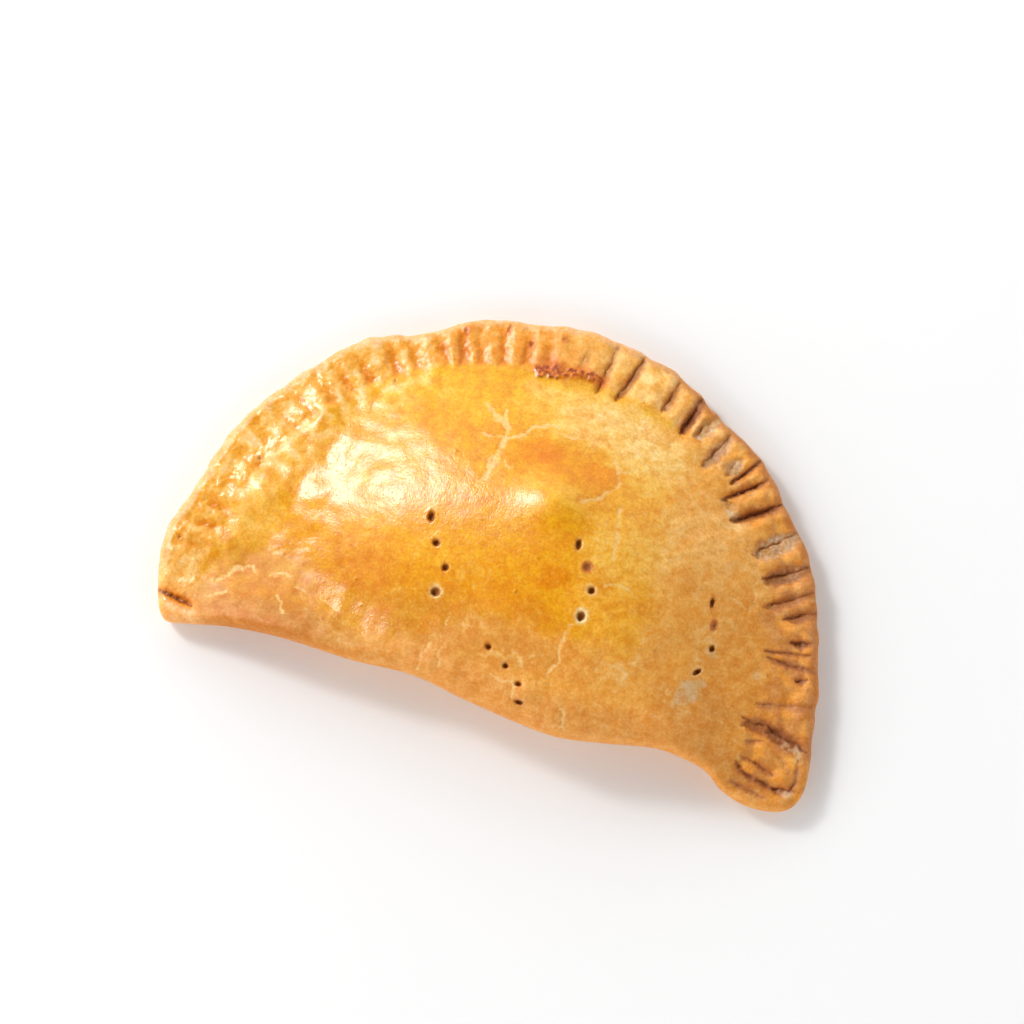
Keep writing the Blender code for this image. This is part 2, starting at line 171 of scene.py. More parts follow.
# The prick holes, then small pits: x, y, half width, half height, lean in degrees, depth, pale ring, red.
PRICKS = (
    (-22.5, -9.1, 0.75, 1.2, 10, 1.5, 0.1, 0.7), (-19.2, -15.1, 0.85, 0.8, 0, 1.5, 0.2, 0.4),
    (-15.1, -20.4, 0.8, 0.9, 0, 1.5, 0.1, 0.1), (-15.7, -26.8, 1.1, 1.1, 0, 1.5, 0.8, 0),
    (15.4, -5.9, 0.7, 1.3, 8, 1.5, 0.2, 0.2), (19.2, -10.7, 1, 1, 0, 0.8, 0.1, 1),
    (21.9, -15.9, 0.85, 0.85, 0, 1.5, 0.6, 0), (21.3, -22.7, 1, 1.15, 0, 1.5, 1, 0),
    (1.3, -36.2, 0.8, 0.6, -35, 1.5, 0, 0.2), (6.8, -39.5, 0.75, 0.6, -25, 1.5, 0, 0.2),
    (11.3, -42.9, 0.75, 0.6, -10, 1.5, 0.1, 0.1), (12.8, -47.1, 1.1, 0.5, 0, 1.5, 0.2, 0.2),
    (51.8, -7.9, 0.5, 1.3, 5, 1.5, 0, 0.3), (53.9, -13.3, 0.6, 0.9, 0, 0.7, 0.1, 1),
    (55.1, -18.9, 0.7, 0.9, -20, 1.5, 0.3, 0), (53.3, -25.8, 0.6, 1.2, -35, 1.5, 0.5, 0),
    (-71, -5.4, 0.3, 0.35, 0, 0.6, 0, 0.3), (-86.1, -36, 0.25, 0.3, 0, 0.5, 0, 0.2),
    (-84.3, -31.2, 0.25, 0.3, 20, 0.4, 0, 0.3), (-30, 43.5, 0.4, 0.6, 10, 0.4, 0, 0.8),
    (-12.6, 44.9, 0.4, 0.5, 0, 0.5, 0, 0.8), (-4.7, 48.6, 0.35, 0.3, 0, 0.3, 0, 0.7),
    (-43.6, 24.7, 0.3, 0.5, 0, 0.4, 0, 0.4), (-19.4, 47.5, 0.3, 1.2, -8, 0.3, 0, 0.7),
)
# The lip round a hole: its height, how far outside the hole it stands, and its half width.
PRICK_LIP = (0.04, 0.7, 0.45)
# Cracks in the glaze where the pale pastry shows: half width, paleness, and the points of the line.
CRACKS = (
    (0.55, 0.9, ((-10.6, 16), (-11.3, 18.9), (-12.8, 22.8), (-13.2, 24.7))),
    (0.7, 0.9, ((-11.3, 18.9), (-16.3, 22.6), (-18.3, 24.3), (-19.7, 26.6))),
    (0.45, 0.7, ((-10.6, 16), (-13.3, 16.2), (-16.9, 15.8))),
    (0.6, 0.9, ((-10.6, 16), (-7.3, 17.5), (-5.7, 20.3), (-3.2, 22.7), (0.8, 23.7))),
    (0.9, 0.9, ((-10.6, 16), (-11, 12.1), (-12.4, 6.2), (-14, 1.4))),
    (0.35, 0.7, ((-11, 12.1), (-9.9, 11.1), (-7.4, 8.2))),
    (0.5, 0.7, ((2.8, 22), (5.9, 21.7), (11.9, 22.5))),
    (0.5, 0.8, ((19.9, 16.1), (18.4, 18.1), (17.4, 19.6))),
    (0.45, 0.7, ((19.9, 16.1), (23, 18), (27, 18.3))),
    (0.6, 0.8, ((19.9, 16.1), (19.9, 11.8), (18.4, 9.8), (15.4, 6.9), (12.8, 5.5))),
    (0.55, 0.8, ((22.9, 6.2), (23.2, 1.8), (24.4, -2.2), (24.6, -7.1))),
    (0.4, 0.6, ((25.5, 5.5), (29, 7.6))),
    (0.5, 0.8, ((24.4, -13.5), (27.9, -12.8), (31, -13.3), (33.5, -14))),
    (0.7, 0.9, ((-71.5, -39), (-69, -37), (-67.2, -34.3), (-63.6, -33.2), (-61.8, -35.3))),
    (0.4, 0.7, ((-59, -33.5), (-53.3, -32.7))),
    (0.5, 0.7, ((-59.1, -27.9), (-56.2, -25.7), (-51.5, -24.9))),
    (0.4, 0.8, ((-55, -39.1), (-52.9, -40.6), (-51.7, -43.3))), (0.45, 0.8, ((-72, -43.5), (-68.2, -41.8))),
    (0.35, 0.6, ((-51.3, -35.2), (-45.3, -36.6), (-39.2, -37.7))),
    (0.5, 0.6, ((-10.8, -29.4), (-10.7, -36.7))),
    (0.45, 0.7, ((-13.1, -40), (-14.5, -42.7), (-14.6, -46.8))),
    (0.4, 0.5, ((-10.6, -39.9), (-9.4, -44.3))),
    (0.5, 0.8, ((19.6, -25.7), (18.6, -30.6), (19.1, -34.7), (17.3, -38.8), (18.8, -41))),
    (0.35, 0.5, ((17.3, -39.4), (14.8, -41.5))), (0.4, 0.7, ((3.6, -42.6), (7.7, -43.1), (10.7, -42.6))),
    (0.4, 0.7, ((10.7, -43.6), (10.8, -46.3))),
    (0.45, 0.8, ((21.9, -45.2), (24.4, -46.3), (24.9, -49.1), (20, -50.8))),
    (0.35, 0.5, ((27.9, -44.2), (33, -41.2))), (0.4, 0.6, ((53.1, -6.1), (57, -4.9), (61, -5.8))),
    (0.4, 0.6, ((61, 3), (62.5, -2.1), (62, -6))), (0.35, 0.5, ((63.4, 3.5), (63.5, -4.1))),
    (0.8, 0.5, ((33, 10.5), (34.6, 7), (35.3, 4))), (0.7, 0.45, ((35.5, 9), (36.4, 5.6), (37.8, 2.8))),
    (0.5, 0.4, ((38.3, 7.5), (39.8, 3.5))),
)
# The first cracks form the star, which gets the finer net.
STAR_CRACKS = 5
# Where the egg wash lies: its right limit by y, and its lower limit by x.
WASH_RIGHT = ((-60, 38), (-20, 37), (0, 35), (10, 31), (35, 30), (60, 20))
WASH_LOW = ((-95, -53), (-70, -51), (-50, -48), (-30, -44), (-15, -37), (-8, -31), (35, -28), (60, -27))

# Colours of the baked pastry: under the egg wash, dry, on the lip and in the marks.
WASHED = (222, 150, 14)
WASHED_DEEP = (210, 128, 10)
WASHED_UPPER = (228, 163, 14)
WASHED_RIGHT = (234, 168, 40)
CREAM = (242, 196, 104)
DRY = (232, 160, 58)
DRY_DARK = (220, 146, 50)
DRY_DEEP = (220, 137.24, 35)
DRY_PALE = (238, 178, 86)
BAND = (216, 145, 58)
BAND_LEFT = (196, 120, 38)
BAND_TIP = (226, 156, 80)
LIP_PALE = (228, 176, 114)
LIP_BROWN = (186, 116, 54)
BARE = (238, 200, 128)
# Dark brown of the marks, deepest in the creases, where it is also painted shade.
DARK_BROWN_AND_CREASE_SHADE = (134, 74, 30)
BROWN_WALL = (168, 98, 46)
FLOUR = (210, 182, 140)
VALLEY = (218, 124, 14)
RIDGE = (246, 196, 100)
# Pale bubbly crust of the left rim's ridges, with a painted glossy sheen.
PALE_CRUST_AND_SHEEN = (252, 226, 172)
PAD = (240, 162, 52)
RED = (186, 84, 26)
JUICE = (146, 56, 14)
JUICE_BEAD = (226, 128, 44)
JUICE_HALO = (208, 112, 34)
HOLE = (166, 112, 44)
HOLE_RING = (232, 212, 170)
UNDERSIDE = (208, 150, 86)
# Linear factors on the colour: the marbling of the baked crust and its fine specks.
MARBLE_LIGHT = (1.06, 1.14, 1.5, 1.0)
MARBLE_DEEP = (0.96, 0.83, 0.55, 1.0)
SPECK_LIGHT = (1.1, 1.18, 1.45, 1.0)
SPECK_DEEP = (0.92, 0.84, 0.64, 1.0)
# The pale tops of the tiny blisters in the glaze, lightened as painted glints.
BLISTER_PALE_AND_GLINT = (248, 196, 62)
# The rim's colour by the angle round its centre.
RIM_TINTS = (
    (-40, 200, 132, 58), (-26, 188, 118, 44), (-14, 188, 118, 40), (-2, 200, 130, 54), (10, 204, 132, 56),
    (25, 216, 146, 64), (40, 222, 152, 58), (55, 234, 172, 82), (70, 246, 194, 112), (84, 246, 186, 96),
    (95, 244, 162, 64), (108, 244, 154, 54), (125, 242, 168, 66), (145, 240, 170, 68), (165, 234, 160, 46),
    (178, 234, 164, 60), (192, 230, 164, 84), (205, 206, 134, 56),
)
# Patches of the lid with a colour of their own: x, y, radius along x and y, share, colour.
PATCHES = (
    (-35, -26, 10, 8, 0.8, WASHED_DEEP), (-58, -34, 13, 8, 1.0, (206, 132, 0)),
    (-8, -24, 12, 6, 0.5, WASHED_DEEP), (15, 27, 17, 7, 0.9, CREAM), (27, 23, 8, 9, 0.8, CREAM),
    (35, -2, 5, 6, 0.5, CREAM), (-5, 33, 5, 2.5, 0.6, CREAM), (-8, -35, 27, 7, 0.85, (204, 134, 38)),
    (27, 9, 9, 9, 0.7, WASHED_RIGHT), (27, -17, 10, 10, 0.7, (244, 174, 58)),
    (6, 13.5, 13, 6, 0.8, (226, 144, 0)), (-0.3, 15.1, 4.6, 3.0, 0.9, (222, 128, 0)),
    (14.9, 13.8, 5.0, 3.2, 0.5, (230, 134, 0)), (12.7, -15.7, 3.0, 2.6, 0.5, (212, 116, 8)),
    (9.6, -25.6, 5, 2.5, 0.5, (206, 124, 30)), (-40, 6, 16, 12, 0.4, (222, 166, 62)),
    (-67, -19, 6, 8, 0.6, (242, 188, 92)), (-66, 2, 6, 8, 0.5, (244, 190, 96)),
    (25, -5, 9, 9, 0.8, (238, 178, 66)), (15, 33, 14, 4, 0.5, (246, 204, 122)),
    (5, 4.5, 9, 4.5, 0.5, (242, 186, 70)), (46, 9, 12, 9, 0.5, (240, 188, 106)),
    (-24, -16, 14, 6, 0.5, (232, 166, 40)), (-60, -46, 20, 6, 0.8, (188, 118, 40)),
    (74, -6, 7, 6, 0.7, (168, 104, 46)), (-42, -44, 14, 4, 0.5, (196, 136, 66)),
    (55, -36, 10, 7, 0.6, (206, 134, 50)), (62, 4, 7, 6, 0.4, DRY_PALE), (52, -2, 6, 4, 0.3, DRY_PALE),
)
# Puffed places, most of them where the lid meets the left rim: x, y, radius and height.
PUFFS = (
    (-66, -13, 6, 1.9), (-65.5, 0.5, 6, 1.3), (-59.5, 10.5, 5.5, 1), (-70.5, -26, 5, 0.4),
    (4, 2.5, 7.5, 0.85),
)
# A place of the glazed lid that stayed dull: x, y, and radius along x and y.
DULL_SPOT = (-60.0, -35.0, 12.0, 7.0)
# Shallow folds of the dry crust: depth, half width, and the points of the line.
FOLDS = (
    (0.28, 0.9, ((36, 36.5), (44, 27.7), (52, 19.2), (57.6, 11.2), (61.8, 4.4))),
    (0.3, 0.45, ((61.7, 0.1), (61.6, -2.8), (63.4, -4.8))),
    (0.2, 0.8, ((46.5, 24), (52.5, 14.5), (55, 8))),
)
# Juice that boiled out of the seam and caramelised, as a line of blobs: x, y, radius.
JUICE_BLOBS = (
    (-7.8, 38.4, 1.7), (-5.2, 39.3, 2.1), (-2.6, 39.4, 1.2), (-0.2, 40.3, 1.4), (2.4, 40.8, 1.1),
    (5, 41.2, 1.2), (7.2, 41, 0.8),
)
JUICE_STRETCH = (1.25, 1.0)
# The stained crust round the juice: x, y, and radius along x and y.
JUICE_HALOS = ((-4.5, 40.2, 8.0, 2.6), (3.5, 41.0, 7.0, 2.0))
# Flour left on the crust: x, y, radius, share.
FLOUR_SPOTS = (
    (54.9, -28.8, 1.7, 0.55), (53.6, -31.2, 2.2, 0.65), (51.6, -33, 1.7, 0.5), (55.6, -20.6, 1.5, 0.4),
    (80.8, -35.6, 1.1, 0.6), (83.4, -36.6, 1.3, 0.8), (84.6, -38.8, 0.8, 0.6), (84, -47.6, 0.9, 0.6),
    (67.4, -20.6, 0.9, 0.5), (78, 3.5, 0.8, 0.5),
)

# Layers of smooth noise, each with its height, size and seed: in the edges of the marks, along the cracks,
# in the relief of the right rim, of the lid and of its radial wrinkles, and in the colours.
RAGGED_LAYERS = ((0.22, 1.4, 13), (0.14, 0.7, 12))
CRACK_LAYERS = ((1.0, 4.0, 7), (0.3, 0.8, 8))
RIGHT_RIM_LAYERS = ((0.14, 1.4, 33), (0.45, 3.6, 34), (0.06, 0.8, 30))
LID_LAYERS = ((0.02, 2.6, 36), (0.02, 1.1, 37))
WRINKLE_LAYERS = ((0.16, 1.5, 40), (0.07, 0.8, 29))
PATCHY_LAYERS = ((1.0, 3.5, 42), (0.5, 1.7, 43))
STREAK_LAYERS = ((1.0, 1.3, 55), (0.5, 0.7, 56))
# Radial noise is read at the angle and the radius times these, so that it runs toward the rim.
RADIAL_SCALE = (1.15, 0.28)
# How drawn lines and borders wander: reach, size and the seed for x, with the next seed for y.
LINE_WANDER = ((0.8, 3.0, 5), (0.3, 1.1, 9))
WASH_WANDER = ((2.2, 5.0, 1), (0.6, 1.6, 3))
PATCH_WANDER = ((2.0, 4.0, 45),)

# Whole numbers that scramble a cell's x, its y and the seed into a direction, and the bits kept.
HASH = (374761393, 668265263, 974711)
HASH_MIX = 1274126177
HASH_BITS = 32

# The section lines round the pie, and how much denser they stand along the rim than along the fold.
COLUMNS = 1024
RIM_DENSITY = 1.5
# The net of the top: how far it reaches, its steps, how far its points scatter as a share of a step, and
# the margins of the fine net round holes, marks and cracks.
NET_REACH = (92.0, 56.0)
COARSE_STEP = 0.5
FINE_STEP = 0.28
SCATTER = 0.14
SCATTER_SEED = 7
FINE_MARGINS = (0.8, 0.7, 0.3)
SIDE_RINGS = 9
ROUNDING_RINGS = 5
# The rings of the underside: how far out they run, and the columns from one point to the next.
UNDERSIDE_SHARES = (0.4, 0.75, 0.97)
UNDERSIDE_STEPS = (8, 4, 2)
# How far the mesh stays inside the solid's box.
BOX_MARGIN = 0.02

# The textures of the crust: size, detail, and how they are stretched and turned.
SPECKS = (0.7, 2.0)
RIPPLES = (1.0, 1.5, (0.55, 1.0, 1.0), 20.0)
PORES = (0.45, 1.0)
MARBLING = (2.6, 4.0)
CRINKLE = (0.7, 2.0, (1.0, 0.7, 1.0), -35.0)
BLISTER_SIZE = 1.0
# The egg wash: its refraction, its roughness where there is none and where it is thick, and its marbling.
WASH_IOR = 1.35
ROUGHNESS = (0.57, 0.24)
ROUGH_MARBLING = 0.11

TABLE_HALF = 2.5
TABLE_WHITE = (0.92, 0.92, 0.92)
TABLE_ROUGHNESS = 0.9

CAMERA_LENS = 100.0
CAMERA_SENSOR = 36.0
CAMERA_ANGLES = (17.5, 80.0)
CAMERA_DISTANCE = 739.6
CAMERA_AIM = (-4.35, 1.25, 5.0)
KEY_ANGLES = (157.0, 38.0)
KEY_DISTANCE = 1200.0
# The softbox is brighter in the middle: size and power of its core, of the whole, and of a third light that
# shows only in the gloss. The last value says whether the light reaches matte surfaces.
KEY_LIGHTS = ((190.0, 3.9, True), (520.0, 3.1, True), (440.0, 19.0, False))
# The white studio round the table, the dark above it, and the heights on the unit dome between which the
# one fades into the other.
SKY = 1.75
ZENITH = 0.06
SKY_FADE = (0.55, 0.78)
# The side on which the studio is brighter, and by how much.
SKY_SIDE = 190.0
SKY_TILT = 0.3


def smooth(value):
    """0 below 0, 1 above 1, and an even curve between."""
    value = np.clip(value, 0.0, 1.0)
    return value * value * (3.0 - 2.0 * value)


def ramp(value, start, width):
    """0 at start and 1 a width further on, or a width back where it is negative, with an even curve."""
    return smooth((value - start) / width)


def round_centre(angle, radius):
    angle = np.radians(angle)
    return CENTRE + np.stack((radius * np.cos(angle), radius * np.sin(angle)), axis=-1)


def unevenness(plan, size, seed):
    """Smooth noise from -1 to 1 at each plan point, with bumps about as wide as size."""
    return np.array([noise.noise(Vector((x / size, y / size, seed))) for x, y in plan])


def fold_share(x):
    """1 where the long side is the rolled fold, 0 on the flat tips."""
    return ramp(x, FOLD_REACH[0], FOLD_FADES[0]) * ramp(x, FOLD_REACH[1], -FOLD_FADES[1])


def stations():
    """Rows of edge x, edge y, inner x and inner y, counter-clockwise from the right tip."""
    past_tip = RIM_ANGLES - np.clip(RIM_ANGLES, 0.0, 180.0)
    inner_angle = RIM_ANGLES - (1.0 - TIP_NARROWING) * past_tip
    rim = np.column_stack((round_centre(RIM_ANGLES, RIM_EDGES), round_centre(inner_angle, RIM_FEET)))
    x, y = np.array(FOLD).T
    share, more = FOLD_INNER_X
    inner_x = x * (share + more * fold_share(x))
    return np.vstack((rim, np.column_stack((x, y, inner_x, np.full(len(x), FOLD_INNER_Y)))))


def closed_spline(rows, at):
    """The closed Catmull-Rom curve through rows, read at row numbers that need not be whole."""
    first = np.floor(at).astype(int)
    part = (at - first)[:, None]
    a, b, c, d = (rows[(first + step) % len(rows)] for step in (-1, 0, 1, 2))
    curve = 2 * b + (c - a) * part + (2 * a - 5 * b + 4 * c - d) * part**2 + (3 * b - a - 3 * c + d) * part**3
    return curve / 2


def outline():
    """The stations' curve drawn finely: its row numbers, and the edge and inner points there."""
    rows = stations()
    at = np.linspace(0.0, len(rows), CURVE_STEPS * len(rows) + 1)
    path = closed_spline(rows, at)
    return at, path[:, :2], path[:, 2:]


def press_marks():
    """The tine marks of every press of the fork: angle, outer end, inner end, depth and half width."""
    found = []
    for press, depths, half_width in PRESSES:
        for angle, depth in zip(press, depths):
            outer = round_centre(angle, np.interp(angle, RIM_ANGLES, RIM_EDGES) - LIP - half_width)
            inner = round_centre(angle, np.interp(angle, RIM_ANGLES, RIM_FEET) + half_width)
            found.append((angle, outer, inner, depth, half_width))
    return found


def scallops(edge):
    """Small waves of the rim's edge, drawn in a little beside each fork mark."""
    outward = edge - CENTRE
    outward /= np.linalg.norm(outward, axis=1)[:, None]
    wave = SCALLOP * unevenness(edge, 4.5, 21.0)
    notches = [(outer, depth) for _, outer, _, depth, _ in press_marks()]
    for outer, depth in notches + list(TIP_NOTCHES):
        away = np.linalg.norm(edge - outer, axis=1)
        wave -= NOTCH_SHARE * depth * np.exp(-((away / NOTCH_RADIUS) ** 4))
    return outward * (wave * ramp(edge[:, 1], FOLD_INNER_Y, 8.0))[:, None]


def columns(count):
    """The edge point and the inner point of each section line round the pie."""
    fine, edge, _ = outline()
    steps = np.linalg.norm(np.diff(edge, axis=0), axis=1)
    steps *= np.where(fine[1:] < len(RIM), RIM_DENSITY, 1.0)
    travelled = np.concatenate(((0.0,), np.cumsum(steps)))
    at = np.interp(np.arange(count) * travelled[-1] / count, travelled, fine)
    path = closed_spline(stations(), at)
    edge = path[:, :2]
    return edge + scallops(edge), path[:, 2:]


def inner_rings(boundary, shares):
    """Closed rings that run evenly from the boundary, at share 1, to its middle, at share 0."""
    waves = np.fft.fft(boundary[:, 0] + 1j * boundary[:, 1])
    order = np.abs(np.fft.fftfreq(len(boundary), 1.0 / len(boundary)))
    rings = [np.fft.ifft(waves * share**order) for share in shares]
    return [np.column_stack((ring.real, ring.imag)) for ring in rings]


def rise(distance, reach, power, root):
    """0 at distance 0, 1 from the reach on."""
    return (1.0 - (1.0 - np.clip(distance / reach, 0.0, 1.0)) ** power) ** root


def crown_height(x):
    """Height of the lid's crown, which slopes down to the left tip."""
    slope, start, bend = CROWN_SLOPE
    return CROWN_HEIGHT - slope * bend * np.logaddexp(0.0, (start - x) / bend)


def swell(plan):
    """Lumps of the filling and the slow waves of the pastry over it."""
    height = sum(tall * unevenness(plan, size, seed) for tall, size, seed in LID_WAVES)
    for x, y, radius, tall in LUMPS:
        distance = np.linalg.norm(plan - (x, y), axis=1)
        height += tall * np.exp(-((distance / radius) ** 2))
    return height


def grain(plan, size, seed, stretch=1.0, turn=0.0):
    """Smooth noise from about -1 to 1, drawn out stretch times along the direction turn."""
    angle = math.radians(turn)
    along = plan @ (math.cos(angle), math.sin(angle)) / (size * stretch)
    over = plan @ (-math.sin(angle), math.cos(angle)) / size
    cell_x = np.floor(along).astype(np.int64)
    cell_y = np.floor(over).astype(np.int64)
    x = along - cell_x
    y = over - cell_y
    mask = 2**HASH_BITS - 1
    corners = []
    for step_x, step_y in ((0, 0), (1, 0), (0, 1), (1, 1)):
        mixed = ((cell_x + step_x) * HASH[0] + (cell_y + step_y) * HASH[1] + seed * HASH[2]) & mask
        mixed = ((mixed ^ (mixed >> 13)) * HASH_MIX) & mask
        heading = (mixed ^ (mixed >> 16)) * (2.0 * math.pi / 2**HASH_BITS)
        corners.append(np.cos(heading) * (x - step_x) + np.sin(heading) * (y - step_y))
    share_x, share_y = (part**3 * (part * (part * 6.0 - 15.0) + 10.0) for part in (x, y))
    low = corners[0] + (corners[1] - corners[0]) * share_x
    high = corners[2] + (corners[3] - corners[2]) * share_x
    return 1.5 * (low + (high - low) * share_y)


def layered(plan, layers):
    """Layers of smooth noise added up."""
    return sum(height * grain(plan, size, seed) for height, size, seed in layers)


def wandered(plan, moves):
    """Plan points moved a little, so that what is drawn through them wanders."""
    moved = plan
    for reach, size, seed in moves:
        moved = moved + reach * np.column_stack((grain(plan, size, seed), grain(plan, size, seed + 1)))
    return moved


def spot(plan, x, y, radius, tall=None):
    """1 in the middle of a soft round spot, or of an oval one that is tall along y, falling to 0 outside."""
    away = (plan - (x, y)) / (radius, tall or radius)
    return np.exp(-(away**2).sum(axis=1))


def from_line(plan, points):
    """Distance of each plan point from a line through points."""
    nearest = np.full(len(plan), np.inf)
    for start, end in zip(points, points[1:]):
        along = np.subtract(end, start)
        share = np.clip((plan - start) @ along / (along @ along), 0.0, 1.0)
        nearest = np.minimum(nearest, np.linalg.norm(plan - start - share[:, None] * along, axis=1))
    return nearest


def fork_marks():
    """The fork marks as they look: outer end, inner end, depth, half width, browning and flour."""
    low, high = SOFT_MARKS
    soft = [(*mark, 0.0, 0.0) for angle, *mark in press_marks() if low < angle < high]
    return soft + [(np.array(outer), np.array(inner), *rest) for outer, inner, *rest in CLEAR_MARKS]


def clear_mark(plan, mark, share, side, away, ragged):
    """Depth, browning and flour of a mark; its crease wanders along the floor, browned with painted shade."""
    outer, _, depth, half_width, browned, floured = mark
    half = half_width * (0.75 + 0.45 * np.sin(math.pi * share) ** 0.6)
    half *= 1.3 if outer[0] > 60.0 else 1.0  # the marks at the far right are the broadest
    dip = np.exp(-((away / (half + 1.3)) ** 2))
    floor = smooth((half + 0.7 - away) / 1.5)
    wander = 0.5 * half_width * (1.0 + grain(plan, 3.0, 16)) + 0.7 * ragged
    crease = np.abs(side + wander) + 4.0 * np.maximum(away - half - 0.6, 0.0)
    crease = np.exp(-((crease / (0.42 + 0.2 * grain(plan, 2.0, 17))) ** 2))
    crease *= smooth(0.3 + 1.1 * browned + 0.9 * grain(plan, 2.4, 14))
    found = depth * sum(part * form for part, form in zip(CLEAR_SHARES, (dip, floor, crease)))
    # The browning peaks in the crease, where it is also painted shade.
    return found, browned * np.maximum(crease, 0.75 * floor), floured * floor * (1.0 - 0.8 * crease)


def soft_mark(plan, mark, along, side, away):
    """Depth of a mark softened by the glaze, shallower on the far left."""
    _, inner, depth, half_width, _, _ = mark
    shallow = 1.0 - 0.45 * ramp(inner[0], -58.0, -8.0) * ramp(inner[1], -44.0, 3.0)
    half = half_width * (1.05 + 0.5 * grain(np.column_stack((along, side)), 3.0, 18))
    dip = np.exp(-((away / (half + 1.0)) ** 2))
    floor = smooth((half + 0.9 - away) / 2.0)
    found = depth * shallow * sum(part * form for part, form in zip(SOFT_SHARES, (dip, floor)))
    return found * smooth(0.95 + 0.6 * grain(plan, 4.5, 15))


def pressed(plan):
    """Depth of the fork marks at each plan point, browning with painted shade in the creases, and flour."""
    ragged = RAGGED * unevenness(plan, 1.7, 11.0) + layered(plan, RAGGED_LAYERS)
    depths, brown_and_crease_shade, flour = np.zeros((3, len(plan)))
    for mark in fork_marks():
        outer, inner, _, _, browned, floured = mark
        along = inner - outer
        length = np.linalg.norm(along)
        side = (plan - outer) @ (-along[1], along[0]) / length
        share = np.clip((plan - outer) @ along / length**2, 0.0, 1.0)
        away = np.linalg.norm(plan - outer - share[:, None] * along, axis=1) + ragged
        if browned or floured:
            found, browned, floured = clear_mark(plan, mark, share, side, away, ragged)
            brown_and_crease_shade = np.maximum(brown_and_crease_shade, browned)
            flour = np.maximum(flour, floured)
        else:
            found = soft_mark(plan, mark, (plan - outer) @ along / length, side, away)
        depths = np.maximum(depths, found * (OUTER_DEPTH + (1.0 - OUTER_DEPTH) * smooth(share * 1.6)))
    return depths, brown_and_crease_shade, flour


def top_height(plan, from_edge):
    """Height of the pie's top before the fork: the shape of the solid, pricks and relief apart."""
    x, y = (plan - CENTRE).T
    at, edge_curve, inner_curve = outline()
    fold_edge = edge_curve[(at > len(RIM)) & (at < at[-1])] - CENTRE
    foot_curve = inner_curve[at < len(RIM)] - CENTRE
    above = np.maximum(y, 0.0)
    foot_angle = np.arctan2(foot_curve[:, 1], foot_curve[:, 0])
    foot = np.interp(np.arctan2(above, x), foot_angle, np.linalg.norm(foot_curve, axis=1))
    from_foot = FOOT_BEND * np.logaddexp(0.0, (foot - np.hypot(x, above)) / FOOT_BEND)
    from_fold = np.maximum(y - np.interp(x, fold_edge[:, 0], fold_edge[:, 1]), 0.0)
    fold = fold_share(plan[:, 0]) * np.exp(-((from_fold / FOLD_DEPTH) ** 2))

    edge = RIM_EDGE_HEIGHT + (FOLD_EDGE_HEIGHT - RIM_EDGE_HEIGHT) * fold
    flat = RIM_HEIGHT + (FOLD_HEIGHT - RIM_HEIGHT) * fold
    flat += RIM_WAVE * (unevenness(plan, 13.0, 2.0) + 0.4 * unevenness(plan, 4.0, 4.0))
    turn = np.clip(1.0 - from_edge / RIM_ROUNDING, 0.0, 1.0)
    base = edge + (flat - edge) * np.sqrt(1.0 - turn**2)
    risen = rise(from_foot, *RIM_RISE) * rise(from_fold, *FOLD_RISE)
    return base + (crown_height(plan[:, 0]) + swell(plan) - base) * risen


def egg_wash(plan):
    """1 where the egg wash lies, 0 on the dry crust."""
    plan = wandered(plan, WASH_WANDER)
    low_x, low_y = np.array(WASH_LOW, float).T
    right_y, right_x = np.array(WASH_RIGHT, float).T
    wash = smooth((plan[:, 1] - np.interp(plan[:, 0], low_x, low_y)) / 6.0 + 0.5)
    return wash * smooth((np.interp(plan[:, 1], right_y, right_x) - plan[:, 0]) / 7.0 + 0.5)


def cracked(plan):
    """How far the pale pastry shows through the cracks in the glaze."""
    wander = wandered(plan, LINE_WANDER)
    uneven = layered(plan, CRACK_LAYERS)
    crack = np.zeros(len(plan))
    for half_width, pale, points in CRACKS:
        close = 1.0 - from_line(wander, points) / (half_width * (1.6 + 0.7 * uneven))
        crack = np.maximum(crack, pale * np.clip(1.2 * close, 0.0, 1.0) * smooth(0.8 + 0.7 * uneven))
    return crack


def survey(plan, from_edge):
    """What the relief and the colours need to know of each plan point."""
    x, y = (plan - CENTRE).T
    angle = np.degrees(np.arctan2(y, x))
    angle = np.where(angle < -90.0, angle + 360.0, angle)
    foot = np.interp(angle, RIM_ANGLES, RIM_FEET)
    edge = np.interp(angle, RIM_ANGLES, RIM_EDGES)
    across = (np.hypot(x, y) - foot) / (edge - foot)
    rim = ramp(across, -0.1, 0.25) * ramp(angle, -30.0, 12.0) * ramp(plan[:, 1], -51.5, 4.0)
    from_fold = plan[:, 1] - np.interp(plan[:, 0], *np.array(FOLD).T)
    broad = grain(plan, 9.0, 41)
    band_width = 6.5 + 4.5 * ramp(plan[:, 0], -30.0, 20.0)
    radial = np.column_stack((angle, np.linalg.norm(plan - CENTRE, axis=1))) * RADIAL_SCALE
    return SimpleNamespace(
        plan=plan, from_edge=from_edge, from_fold=from_fold, angle=angle, across=across, radial=radial,
        rim=rim, band=smooth((band_width - from_fold) / 6.0 + 0.2 * broad), wash=egg_wash(plan),
        crack=cracked(plan), pressed=pressed(plan), juice=juice(plan), broad=broad, fine=grain(plan, 0.9, 44),
        patchy=layered(plan, PATCHY_LAYERS), shift=wandered(plan, PATCH_WANDER),
    )


